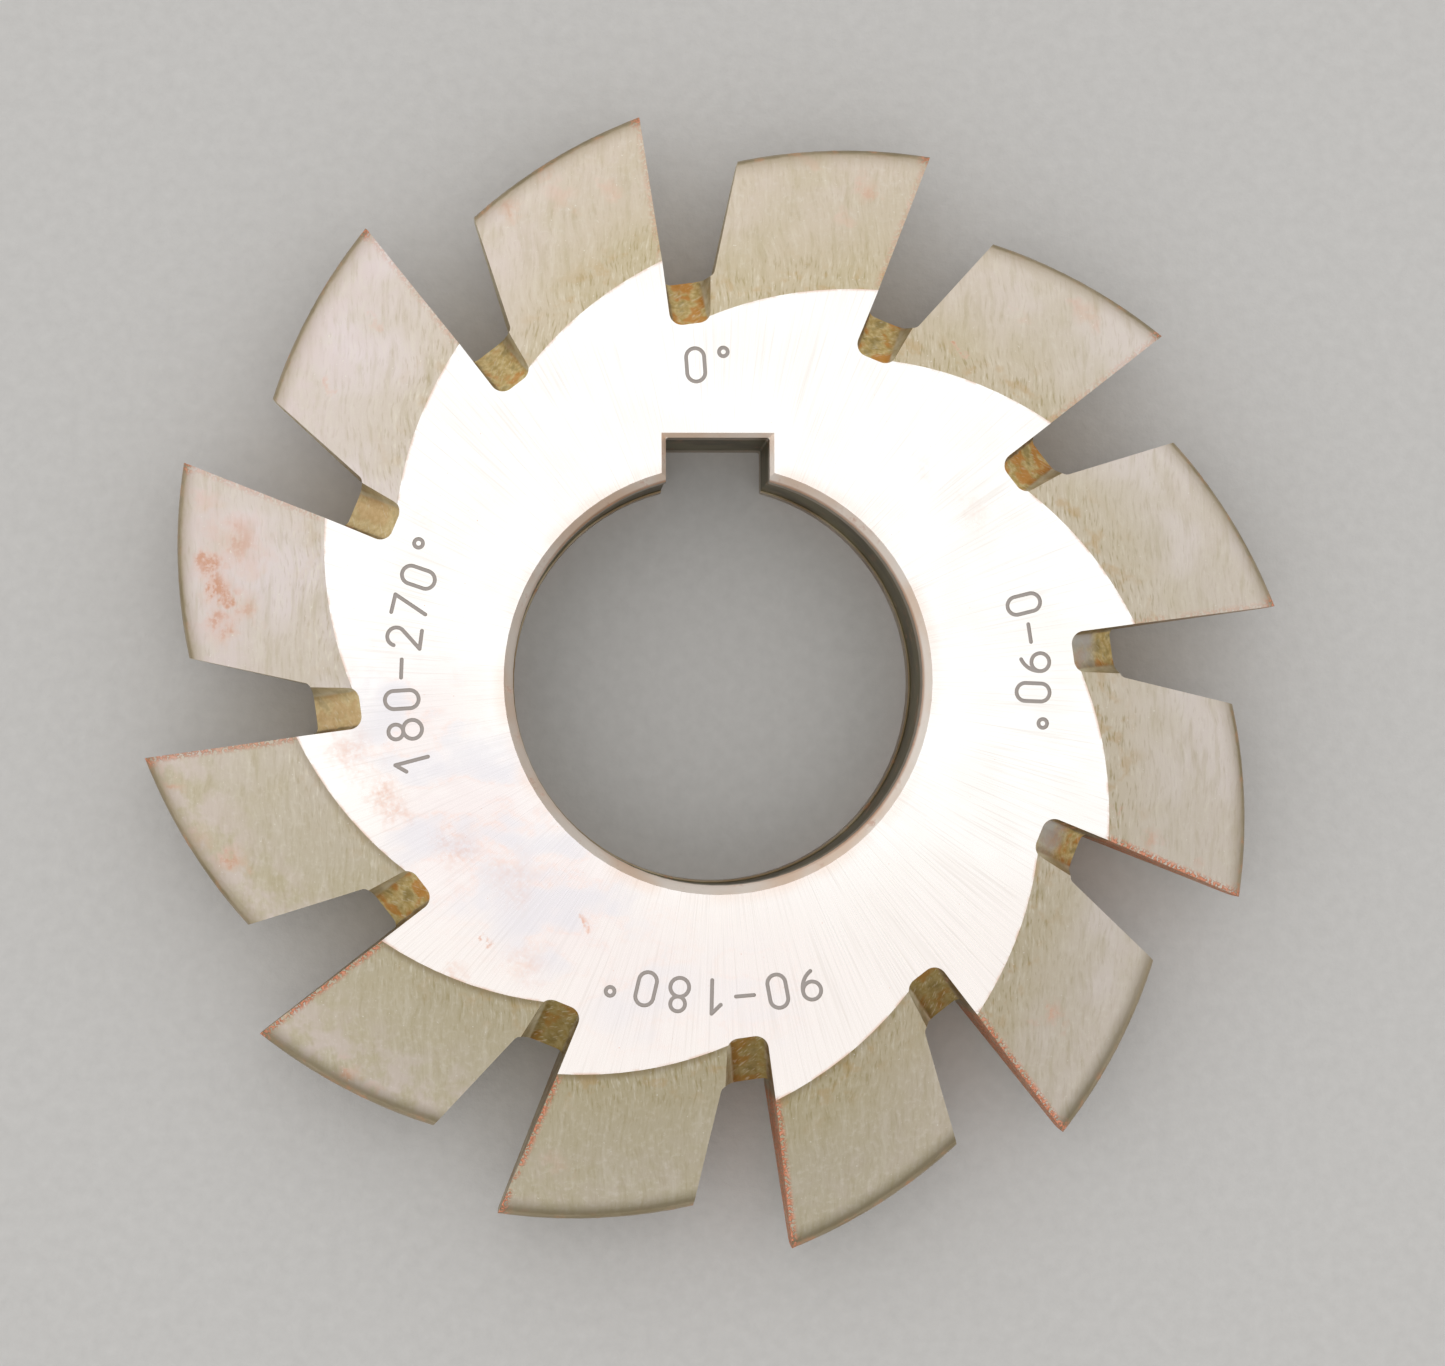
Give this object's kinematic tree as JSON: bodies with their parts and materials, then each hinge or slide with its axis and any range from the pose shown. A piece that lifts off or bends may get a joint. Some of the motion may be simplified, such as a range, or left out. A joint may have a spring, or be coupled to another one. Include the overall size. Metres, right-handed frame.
{
  "type": "gear tooth milling cutter",
  "caption": "Form-relieved disc milling cutter for gear teeth: tapered backed-off teeth, sloped chip gaps and a keyed plain bore.",
  "frame": {"origin": "on the bore axis, in the plane of the lower side face", "axes": "+Z along the bore axis out of the marked side face, +Y through the middle of the keyway"},
  "size_m": [0.0898, 0.0898, 0.0134],
  "materials": {
    "tool_steel": "ground hub faces, relieved tooth flanks with scratches and light rust, unground gaps"
  },
  "bodies": {
    "root": {"gear_cutter": "tool_steel"}
  },
  "joints": []
}
